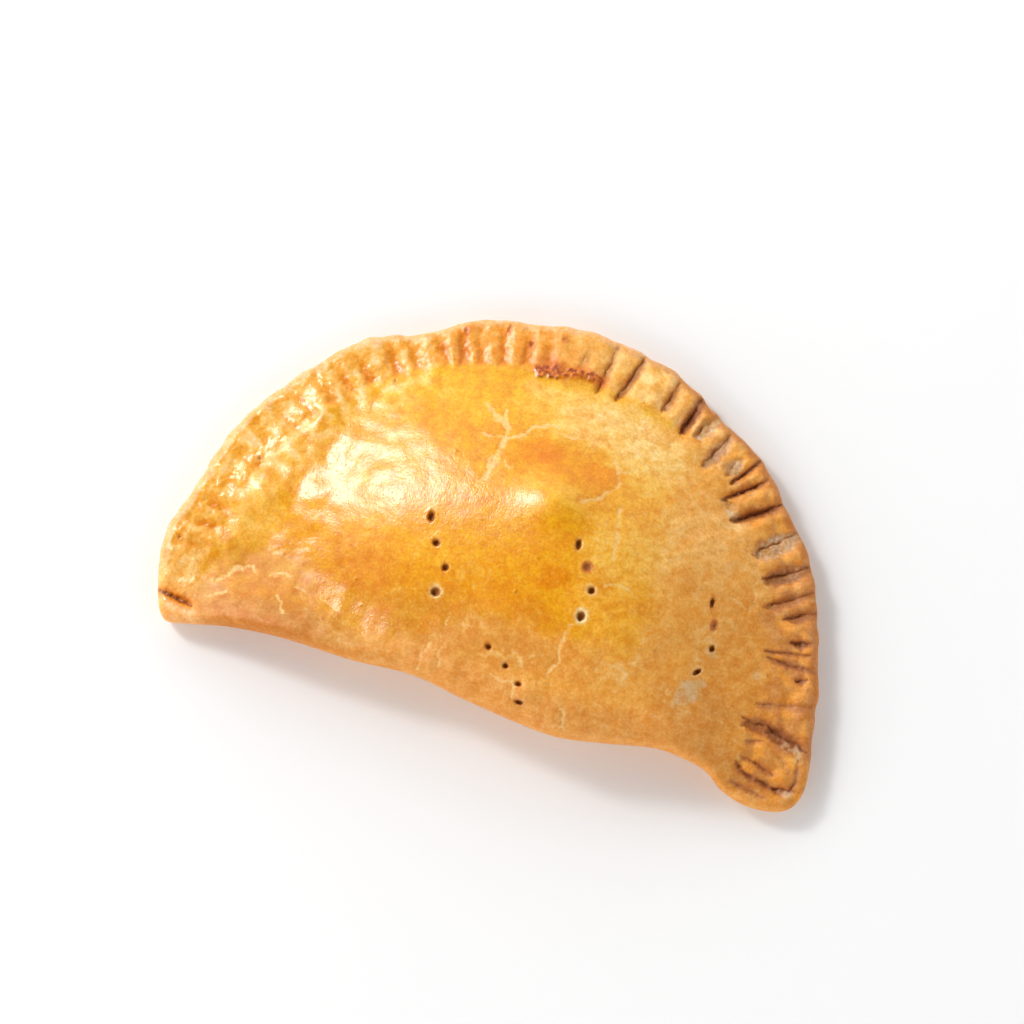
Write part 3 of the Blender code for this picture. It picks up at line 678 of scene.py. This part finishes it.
def pricked(plan):
    """Depth of the prick holes, and how far each point lies in a hole, its pale ring and its red stain."""
    depth, hole, ring, red = np.zeros((4, len(plan)))
    ragged, ring_ragged = grain(plan, 0.9, 51), grain(plan, 1.2, 52)
    lip_height, lip_out, lip_half = PRICK_LIP
    for x, y, wide, tall, lean, deep, pale, reddish in PRICKS:
        lean = math.radians(lean)
        away = plan - (x, y)
        turned = away @ np.array(((math.cos(lean), -math.sin(lean)), (math.sin(lean), math.cos(lean))))
        far = np.hypot(turned[:, 0] / wide, turned[:, 1] / tall)
        size = math.sqrt(wide * tall)
        lip = lip_height * np.exp(-(((far - 1.0) * size - lip_out) / lip_half) ** 2)
        far = far + 0.16 * ragged
        out = (far - 1.0) * size
        depth = np.where(far < 4.0, depth + deep * smooth(0.5 - out / 0.8) - lip, depth)
        hole = np.maximum(hole, smooth(0.5 - out / 0.5) * min(1.0, deep / 1.2))
        ring = np.maximum(ring, pale * smooth(1.2 - out / 1.2 + 0.3 * ring_ragged))
        red = np.maximum(red, reddish * smooth(1.4 - out / 0.7))
    return depth, hole, ring, red


def juice(plan):
    """Height of the boiled-out juice, and how much of each plan point it covers."""
    near = np.zeros(len(plan))
    for x, y, radius in JUICE_BLOBS:
        away = np.linalg.norm((plan - (x, y)) / JUICE_STRETCH, axis=1)
        near = np.maximum(near, 1.0 - away / (1.5 * radius))
    covered = smooth((near + 0.28 * grain(plan, 1.5, 61) + 0.15 * grain(plan, 0.7, 62) - 0.22) / 0.22)
    return covered * (0.45 + 0.4 * grain(plan, 1.0, 63)), covered


def relief(seen):
    """Fine relief of the top, upward."""
    plan, angle, rim = seen.plan, seen.angle, seen.rim
    depth, brown_and_crease_shade, flour = seen.pressed
    left_rim = rim * ramp(angle, 85.0, 20.0)
    right_rim = rim * (1.0 - ramp(angle, 70.0, 20.0))
    lid = 1.0 - rim
    bubbles = 0.5 * np.maximum(grain(plan, 1.9, 31), 0.0) ** 1.5 + 0.16 * grain(plan, 0.95, 32)
    height = left_rim * (0.62 * bubbles + 0.06 * grain(plan, 0.8, 28))
    height += right_rim * layered(plan, RIGHT_RIM_LAYERS)
    height += smooth(depth) * np.maximum(brown_and_crease_shade, flour) * 0.14 * grain(plan, 0.9, 35)
    wander = wandered(plan, LINE_WANDER)
    for deep, half_width, points in FOLDS:
        height -= deep * np.exp(-((from_line(wander, points) / half_width) ** 2))
    for x, y, radius, tall in PUFFS:
        height += tall * spot(plan, x, y, radius)
    height += lid * layered(plan, LID_LAYERS)
    height += lid * (1.0 - seen.wash) * 0.16 * grain(plan, 5.0, 39, stretch=2.5, turn=60.0)
    height += lid * ramp(plan[:, 0], 15.0, 30.0) * layered(seen.radial, WRINKLE_LAYERS)
    near_fold = ramp(seen.from_fold, 12.0, -8.0)
    height += near_fold * 0.13 * grain(plan, 1.3, 38, stretch=4.0)
    height -= 0.16 * seen.crack
    return height + seen.juice[0]


def mix(colour, share, target):
    """The colour moved by each point's share toward the target. Either may be one colour for all points."""
    return colour + share[:, None] * np.subtract(target, colour)


def lid_colours(seen):
    """The lid, dry or under the egg wash, with its patches and streaks and the band along the fold."""
    plan, wash, patchy, shift = seen.plan, seen.wash, seen.patchy, seen.shift
    x, y = plan.T
    dry = mix(DRY, smooth((x - 38.0) / 24.0 + 0.4 * seen.broad), DRY_DARK)
    dry = mix(dry, 0.45 * smooth(0.9 * patchy), DRY_PALE)
    washed = mix(WASHED, smooth((y - 8.0) / 16.0 + 0.3 * seen.broad), WASHED_UPPER)
    washed = mix(washed, 0.3 * smooth(0.9 * patchy), WASHED_UPPER)
    washed = mix(washed, 0.3 * smooth(-0.9 * patchy - 0.1), WASHED_DEEP)
    colour = mix(dry, wash, washed)
    for *place, share, tint in PATCHES:
        colour = mix(colour, share * smooth(1.5 * spot(shift, *place)), tint)
    scuffed = grain(shift, 6.5, 53, stretch=1.8, turn=25.0) + 0.45 * grain(shift, 2.2, 54)
    scuffed += 0.25 * seen.fine
    colour = mix(colour, 0.5 * smooth(2.2 * scuffed - 0.75) * (1.0 - 0.55 * wash), BARE)
    colour = mix(colour, 0.4 * smooth(-2.2 * scuffed - 0.6), DRY_DEEP)
    streaks = layered(seen.radial, STREAK_LAYERS)
    colour = mix(colour, 0.3 * ramp(x, 20.0, 25.0) * smooth(1.4 * streaks), DRY_PALE)
    band_colour = mix(BAND, ramp(x, -25.0, -30.0), BAND_LEFT)
    band_colour = mix(band_colour, ramp(x, -66.0, -12.0), BAND_TIP)
    return mix(colour, seen.band * (1.0 - seen.rim), band_colour)


def rim_colours(seen, colour):
    """The rim laid on the lid's colour: browned pads right, glazed ridges left, some with a painted sheen."""
    angle, rim, patchy = seen.angle, seen.rim, seen.patchy
    depth = seen.pressed[0]
    tints = np.array(RIM_TINTS, float)
    rim_colour = np.column_stack([np.interp(angle, tints[:, 0], tints[:, i]) for i in (1, 2, 3)])
    right = 1.0 - ramp(angle, 62.0, 16.0)
    pads = smooth(0.5 + 1.1 * grain(seen.plan, 4.2, 47) + 0.5 * patchy - 0.5 * depth)
    rim_colour = mix(rim_colour, 0.75 * right * pads, PAD)
    rim_colour = mix(rim_colour, 0.6 * right * smooth(0.6 * depth - 0.7 * patchy - 0.1), BROWN_WALL)
    rim_colour = mix(rim_colour, 0.3 * (1.0 - right) * smooth(0.9 * patchy), RIDGE)
    colour = mix(colour, 0.9 * rim, rim_colour)
    left = left_rim(seen)
    colour = mix(colour, 0.85 * left * smooth(depth / 0.5 - 0.6 + 0.4 * patchy), VALLEY)
    colour = mix(colour, 0.6 * left * smooth(0.5 - depth / 0.5 + 0.6 * patchy), RIDGE)
    # The palest ridges of the left rim: pale crust, lightened further as a painted glossy sheen.
    pale_and_sheen = ramp(angle, 112.0, 15.0) * ramp(angle, 206.0, -12.0)
    pale_and_sheen *= ramp(seen.across, -1.0, 0.9) * (1.0 - 0.6 * ramp(angle, 155.0, 15.0))
    return mix(colour, 0.6 * pale_and_sheen * smooth(0.45 - depth / 0.5 + 0.9 * patchy), PALE_CRUST_AND_SHEEN)


def left_rim(seen):
    """1 on the glazed left side of the rim."""
    return ramp(seen.angle, 84.0, 22.0) * seen.rim


def lip_share(seen):
    """1 on the thin lip of the rim's edge."""
    width = 2.9 - seen.from_edge + 0.7 * seen.patchy
    return smooth(width / 1.6) * ramp(seen.plan[:, 1], -44.0, 8.0)


def detail_colours(seen, colour, hole, ring, red):
    """Holes, lip, marks browned and floury with painted crease shade, and juice laid over the colour."""
    plan, patchy, fine = seen.plan, seen.patchy, seen.fine
    depth, brown_and_crease_shade, flour = seen.pressed
    colour = mix(colour, ring * 0.75, HOLE_RING)
    colour = mix(colour, red * 0.7, RED)
    lip_colour = mix(LIP_BROWN, ramp(seen.angle, 60.0, 30.0), LIP_PALE)
    colour = mix(colour, 0.85 * lip_share(seen), lip_colour)
    colour = mix(colour, 0.6 * smooth(brown_and_crease_shade * 1.5) * (1.0 - 0.6 * flour), BROWN_WALL)
    # Dark brown where the marks are most browned, strongest in the creases as painted shade.
    colour = mix(colour, smooth(brown_and_crease_shade * 1.6 + 0.25 * patchy - 0.75), DARK_BROWN_AND_CREASE_SHADE)
    floury = 0.85 * flour * smooth(0.75 + 0.5 * fine + 0.3 * grain(plan, 0.6, 48)) * smooth(depth)
    for x, y, radius, share in FLOUR_SPOTS:
        floury = np.maximum(floury, share * smooth(1.6 * spot(seen.shift, x, y, radius) + 0.5 * fine))
    colour = mix(colour, floury, FLOUR)
    colour = mix(colour, hole, HOLE)
    covered = seen.juice[1]
    halo = np.max([spot(plan, *place) for place in JUICE_HALOS], axis=0)
    colour = mix(colour, 0.75 * smooth(1.2 * halo + 0.35 * patchy) * (1.0 - covered), JUICE_HALO)
    beads = mix(JUICE, smooth(0.45 + fine + 0.4 * patchy), JUICE_BEAD)
    return mix(colour, 0.95 * covered, beads)


def crust_shine(seen, hole):
    """Shine of each point, 0 matte to 1 glazed."""
    wash, rim, band = seen.wash, seen.rim, seen.band
    glazed = left_rim(seen) * (0.7 + 0.3 * ramp(seen.angle, 116.0, 16.0))
    matte = ramp(seen.from_fold, 15.0, -8.0) * ramp(seen.plan[:, 0], -38.0, -10.0)
    matte = np.maximum(matte, 0.85 * smooth(1.7 * spot(seen.shift, *DULL_SPOT)))
    shine = np.maximum(wash * (1.0 - band) * (1.0 - rim) * (1.0 - matte), glazed)
    shine *= (1.0 - 0.7 * seen.crack) * (1.0 - lip_share(seen)) * (1.0 - hole)
    return np.maximum(shine, 0.45 * seen.juice[1])


def crust_looks(seen, hole, ring, red, under):
    """sRGB colour, shine and bareness of each point; under is 1 on the plain underside."""
    colour = rim_colours(seen, lid_colours(seen))
    colour = mix(detail_colours(seen, colour, hole, ring, red), under, UNDERSIDE)
    shine = np.clip(crust_shine(seen, hole) * (1.0 - under), 0.0, 1.0)
    return np.clip(colour, 0.0, 255.0), shine, seen.crack * (1.0 - under)


def crowded(plan):
    """True where holes, marks and cracks need the finer net."""
    near = np.zeros(len(plan), bool)
    round_hole, beside_mark, beside_crack = FINE_MARGINS
    for x, y, wide, tall, *_ in PRICKS:
        near |= np.linalg.norm(plan - (x, y), axis=1) < max(wide, tall) + round_hole
    for outer, inner, _, half_width, _, _ in CLEAR_MARKS:
        near |= from_line(plan, (outer, inner)) < half_width + beside_mark
    for half_width, _, points in CRACKS[:STAR_CRACKS]:
        near |= from_line(plan, points) < half_width + beside_crack
    return near


def net(step, scatter):
    """Points of a slightly scattered triangular net over the whole pie."""
    reach_x, reach_y = NET_REACH
    ys = np.arange(-reach_y, reach_y, step * math.sqrt(0.75))
    x, y = np.meshgrid(np.arange(-reach_x, reach_x, step), ys)
    x = x + np.where(np.arange(len(ys)) % 2, step / 2, 0.0)[:, None]
    plan = np.column_stack((x.ravel(), y.ravel()))
    return plan + scatter.uniform(-SCATTER, SCATTER, plan.shape) * step


def inside(plan, ring):
    """True for plan points inside a closed ring."""
    found = np.zeros(len(plan), bool)
    x, y = plan.T
    for (ax, ay), (bx, by) in zip(ring, np.roll(ring, -1, axis=0)):
        cross = (y >= min(ay, by)) & (y < max(ay, by))
        found[cross] ^= x[cross] < ax + (y[cross] - ay) * (bx - ax) / (by - ay)
    return found


def top_points(edge, innermost):
    """The net's points inside the innermost band of the rounding, and how far each is from the edge."""
    tree = kdtree.KDTree(len(edge))
    for number, (x, y) in enumerate(edge):
        tree.insert((x, y, 0.0), number)
    tree.balance()
    scatter = np.random.default_rng(SCATTER_SEED)
    coarse = net(COARSE_STEP, scatter)
    fine = net(FINE_STEP, scatter)
    coarse = coarse[inside(coarse, innermost)]
    fine = fine[inside(fine, innermost)]
    points = np.vstack((coarse[~crowded(coarse)], fine[crowded(fine)]))
    away = np.array([tree.find((x, y, 0.0))[2] for x, y in points])
    keep = away > RIM_ROUNDING + 0.2
    return points[keep], away[keep]


def meshed(plan, border):
    """Plan points joined by triangles inside the first points, the border: the points as the mesh has
    them, the number each had, and the triangles, counter-clockwise."""
    loop = [(i, (i + 1) % border) for i in range(border)]
    made = geometry.delaunay_2d_cdt([Vector(point) for point in plan], loop, [], 1, 1e-5)
    points = np.array([tuple(point) for point in made[0]])
    origin = np.array([came[0] if came else -1 for came in made[3]])
    triangles = np.array(made[2])
    a, b, c = (points[triangles[:, i]] for i in range(3))
    turned = (b - a)[:, 0] * (c - a)[:, 1] - (b - a)[:, 1] * (c - a)[:, 0] < 0.0
    triangles[turned] = triangles[turned][:, ::-1]
    return points, origin, triangles


def rings_below(edge, inner, inward, edge_height):
    """The rings of the flat underside and of the undercut wall, from the middle outward and upward."""
    fold = fold_share(edge[:, 0]) * (edge[:, 1] < FOLD_INNER_Y)
    undercut = RIM_UNDERCUT + (FOLD_UNDERCUT - RIM_UNDERCUT) * fold
    rings = []
    for step, ring in zip(UNDERSIDE_STEPS, inner_rings(inner, UNDERSIDE_SHARES)):
        rings.append(np.column_stack((ring, np.zeros(len(ring))))[::step])
    for turn in np.linspace(0.0, math.pi / 2, SIDE_RINGS + 1)[:-1]:
        around = edge + inward * (undercut * (1.0 - math.sin(turn)))[:, None]
        rings.append(np.column_stack((around, edge_height * (1.0 - math.cos(turn)))))
    return rings


def crust():
    """Vertices in mm and faces of the crust, then the colour, shine and bareness of each vertex."""
    edge, inner = columns(COLUMNS)
    inward = (inner - edge) / np.linalg.norm(inner - edge, axis=1)[:, None]
    turns = np.linspace(0.0, math.pi / 2, ROUNDING_RINGS + 1)
    offsets = [RIM_ROUNDING * (1.0 - math.cos(turn)) for turn in turns]
    bands = [edge + inward * offset for offset in offsets]
    points, away = top_points(edge, bands[-1])
    plan, origin, triangles = meshed(np.vstack(bands + [points]), len(edge))
    from_edge = np.concatenate((np.repeat(offsets, len(edge)), away))[origin]
    place = np.empty(len(origin), int)
    place[origin] = np.arange(len(origin))
    rim_numbers = place[: len(edge)]

    seen = survey(plan, from_edge)
    hole_depth, hole, ring, red = pricked(plan)
    height = top_height(plan, from_edge)
    height += smooth(from_edge / 1.5) * (relief(seen) - seen.pressed[0] - hole_depth)
    looks = crust_looks(seen, hole, ring, red, np.zeros(len(plan)))

    rings = rings_below(edge, inner, inward, height[rim_numbers])
    faces = [tuple(face) for face in triangles.tolist()]
    count = len(plan)
    numbers = []
    for ring in rings:
        numbers.append(list(range(count, count + len(ring))))
        count += len(ring)
    for lower, upper in zip(numbers, numbers[1:] + [rim_numbers.tolist()]):
        faces += strip(lower, upper)
    first = numbers[0]
    faces += [(first[(i + 1) % len(first)], first[i], count) for i in range(len(first))]
    rest = np.vstack(rings + [rings[0].mean(axis=0)])

    below = survey(rest[:, :2], np.zeros(len(rest)))
    none = np.zeros(len(rest))
    below.pressed = (none, none, none)
    rest_looks = crust_looks(below, none, none, none, smooth(1.6 - rest[:, 2] / 1.6))
    vertices = np.vstack((np.column_stack((plan, height)), rest))
    return vertices, faces, *(np.concatenate(pair) for pair in zip(looks, rest_looks))


def strip(lower, upper):
    """Faces between two rings of vertex numbers; the upper may have twice as many."""
    faces = []
    for i in range(len(lower)):
        j = (i + 1) % len(lower)
        if len(lower) == len(upper):
            faces.append((lower[i], lower[j], upper[j], upper[i]))
        else:
            a, b, c = upper[2 * i], upper[2 * i + 1], upper[(2 * i + 2) % len(upper)]
            faces += [(b, a, lower[i]), (lower[j], b, lower[i]), (c, b, lower[j])]
    return faces


def linear(colour):
    """A colour from sRGB, 0 to 255, to linear, 0 to 1."""
    share = np.asarray(colour, float) / 255.0
    return np.where(share <= 0.04045, share / 12.92, ((share + 0.055) / 1.055) ** 2.4)


def node_maker(tree):
    """A function that adds a node to the tree, with its settings and inputs, and returns one output."""
    def add(kind, output, inputs=(), **settings):
        node = tree.nodes.new("ShaderNode" + kind)
        for name, value in settings.items():
            setattr(node, name, value)
        feed(tree, node, inputs)
        return node.outputs[output]
    return add


def feed(tree, node, inputs):
    """Links an output to each input named, or sets a plain value there."""
    for name, value in dict(inputs).items():
        if isinstance(value, bpy.types.NodeSocket):
            tree.links.new(value, node.inputs[name])
        else:
            node.inputs[name].default_value = value


def range_inputs(value, low, high, new_low, new_high):
    return {"Value": value, "From Min": low, "From Max": high, "To Min": new_low, "To Max": new_high}


def crust_material():
    material = bpy.data.materials.new("baked_crust")
    material.use_nodes = True
    add = node_maker(material.node_tree)
    tint = add("Attribute", "Color", attribute_name="tint")
    shine = add("Attribute", "Fac", attribute_name="shine")
    bare = add("Attribute", "Fac", attribute_name="bare")
    place = add("TexCoord", "Object")

    def texture(size, detail, stretch=(1.0, 1.0, 1.0), turn=0.0):
        turned = {"Vector": place, "Rotation": (0.0, 0.0, math.radians(turn)), "Scale": stretch}
        inputs = {"Scale": 1.0 / (size * MM), "Detail": detail, "Roughness": 0.55}
        return add("TexNoise", "Fac", {"Vector": add("Mapping", "Vector", turned), **inputs})

    def ranged(*limits):
        return add("MapRange", "Result", range_inputs(*limits))

    def blended(mode, share, first, second):
        # The sockets of a colour mix come after those of the other kinds of mix, with the same names.
        return add("Mix", 2, {0: share, 6: first, 7: second}, data_type="RGBA", blend_type=mode)

    def multiplied(first, second):
        return add("Math", "Value", {0: first, 1: second}, operation="MULTIPLY")

    def added(first, second, factor):
        return add("Math", "Value", {0: second, 1: factor, 2: first}, operation="MULTIPLY_ADD")

    specks, ripples, pores, marbling, crinkle = (
        texture(*row) for row in (SPECKS, RIPPLES, PORES, MARBLING, CRINKLE)
    )
    hues = blended("MIX", ranged(marbling, 0.36, 0.64, 0.0, 1.0), MARBLE_LIGHT, MARBLE_DEEP)
    colour = blended("MULTIPLY", 1.0, tint, hues)
    lightness = ranged(specks, 0.3, 0.7, 0.0, 1.0)
    colour = blended("MULTIPLY", 1.0, colour, blended("MIX", lightness, SPECK_DEEP, SPECK_LIGHT))
    blisters = add("TexVoronoi", "Distance", {"Vector": place, "Scale": 1.0 / (BLISTER_SIZE * MM)})
    domes = ranged(blisters, 0.0, 0.32, 1.0, 0.0)
    # Pale dots on the blister tops of the shiny glaze: paler glaze and painted glints.
    glint_dots = multiplied(ranged(domes, 0.35, 0.8, 0.0, 0.3), ranged(marbling, 0.45, 0.6, 0.0, 1.0))
    colour = blended("MIX", multiplied(glint_dots, shine), colour, (*linear(BLISTER_PALE_AND_GLINT).tolist(), 1.0))
    ragged = added(bare, added(pores, specks, 1.0), 0.6)
    colour = blended("MIX", ranged(ragged, 0.82, 1.35, 0.0, 0.75), colour, (*linear(BARE).tolist(), 1.0))

    normal = None
    for height, distance, strength in (
        (ripples, 0.035, ranged(shine, 0.0, 1.0, 0.3, 1.0)),
        (domes, 0.03, ranged(shine, 0.0, 1.0, 0.25, 1.0)),
        (crinkle, 0.045, 0.9), (specks, 0.035, 0.9), (pores, 0.025, 0.8),
    ):
        inputs = {"Height": height, "Distance": distance * MM, "Strength": strength}
        normal = add("Bump", "Normal", {**inputs, "Normal": normal} if normal else inputs)
    rough = added(ranged(shine, 0.0, 1.0, *ROUGHNESS), marbling, ROUGH_MARBLING)
    feed(material.node_tree, material.node_tree.nodes["Principled BSDF"], {
        "Base Color": colour, "Roughness": rough, "Normal": normal, "Metallic": 0.0, "IOR": WASH_IOR,
    })
    return material


def placed(name, data):
    """A new object in the scene."""
    thing = bpy.data.objects.new(name, data)
    bpy.context.scene.collection.objects.link(thing)
    return thing


def build_crust():
    points, faces, colour, shine, bare = crust()
    low, high = (np.array(corner) / MM for corner in frame_bounds)
    points = np.clip(points, low + BOX_MARGIN, high - BOX_MARGIN)
    mesh = bpy.data.meshes.new("crust")
    mesh.from_pydata((points * MM).tolist(), [], faces)
    tint = mesh.attributes.new("tint", "FLOAT_COLOR", "POINT")
    tint.data.foreach_set("color", np.column_stack((linear(colour), np.ones(len(colour)))).ravel())
    for name, values in (("shine", shine), ("bare", bare)):
        mesh.attributes.new(name, "FLOAT", "POINT").data.foreach_set("value", values)
    mesh.shade_smooth()
    mesh.materials.append(crust_material())
    pie = placed("pie_crust", mesh)
    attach(pie, "root")
    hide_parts("pastry")


def table_material():
    material = bpy.data.materials.new("white_table")
    material.use_nodes = True
    shader = material.node_tree.nodes["Principled BSDF"]
    shader.inputs["Base Color"].default_value = (*TABLE_WHITE, 1.0)
    shader.inputs["Roughness"].default_value = TABLE_ROUGHNESS
    return material


def build_table():
    mesh = bpy.data.meshes.new("table")
    corners = [(x * TABLE_HALF, y * TABLE_HALF, 0.0) for x, y in ((-1, -1), (1, -1), (1, 1), (-1, 1))]
    mesh.from_pydata(corners, [], [(0, 1, 2, 3)])
    mesh.materials.append(table_material())
    placed("table", mesh)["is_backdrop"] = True


def direction(azimuth, elevation):
    """Unit vector at an angle from +X round the pie and an angle above the table, in degrees."""
    azimuth, elevation = math.radians(azimuth), math.radians(elevation)
    flat = math.cos(elevation)
    return Vector((math.cos(azimuth) * flat, math.sin(azimuth) * flat, math.sin(elevation)))


def build_light():
    toward = direction(*KEY_ANGLES)
    for size, power, reaches_matte in KEY_LIGHTS:
        light = bpy.data.lights.new("softbox", "AREA")
        light.shape = "DISK"
        light.size = size * MM
        light.energy = power
        softbox = placed("softbox", light)
        softbox.location = toward * KEY_DISTANCE * MM
        softbox.rotation_euler = toward.to_track_quat("Z", "Y").to_euler()
        softbox.visible_diffuse = reaches_matte

    world = bpy.data.worlds.new("studio")
    world.use_nodes = True
    tree = world.node_tree
    add = node_maker(tree)
    toward = add("TexCoord", "Generated")
    height = add("SeparateXYZ", "Z", {"Vector": toward})
    fade = range_inputs(height, *SKY_FADE, SKY, ZENITH)
    fade = add("MapRange", "Result", fade, interpolation_type="SMOOTHSTEP")
    side = direction(SKY_SIDE, 0.0) * SKY_TILT
    lean = add("VectorMath", "Value", {0: toward, 1: side}, operation="DOT_PRODUCT")
    strength = add("Math", "Value", {0: lean, 1: fade, 2: fade}, operation="MULTIPLY_ADD")
    feed(tree, tree.nodes["Background"], {"Color": (1.0, 1.0, 1.0, 1.0), "Strength": strength})
    bpy.context.scene.world = world


def build_camera():
    data = bpy.data.cameras.new("camera")
    data.lens = CAMERA_LENS
    data.sensor_width = CAMERA_SENSOR
    camera = placed("camera", data)
    azimuth, elevation = CAMERA_ANGLES
    back = direction(azimuth - 90.0, elevation)
    right = direction(azimuth, 0.0)
    turn = Matrix((right, back.cross(right), back)).transposed().to_4x4()
    camera.matrix_world = Matrix.Translation((Vector(CAMERA_AIM) + back * CAMERA_DISTANCE) * MM) @ turn
    bpy.context.scene.camera = camera


build_crust()
build_table()
build_light()
build_camera()
bpy.context.scene.view_settings.view_transform = "Standard"

[[list(corner) for corner in box] for box in (frame_bounds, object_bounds())]
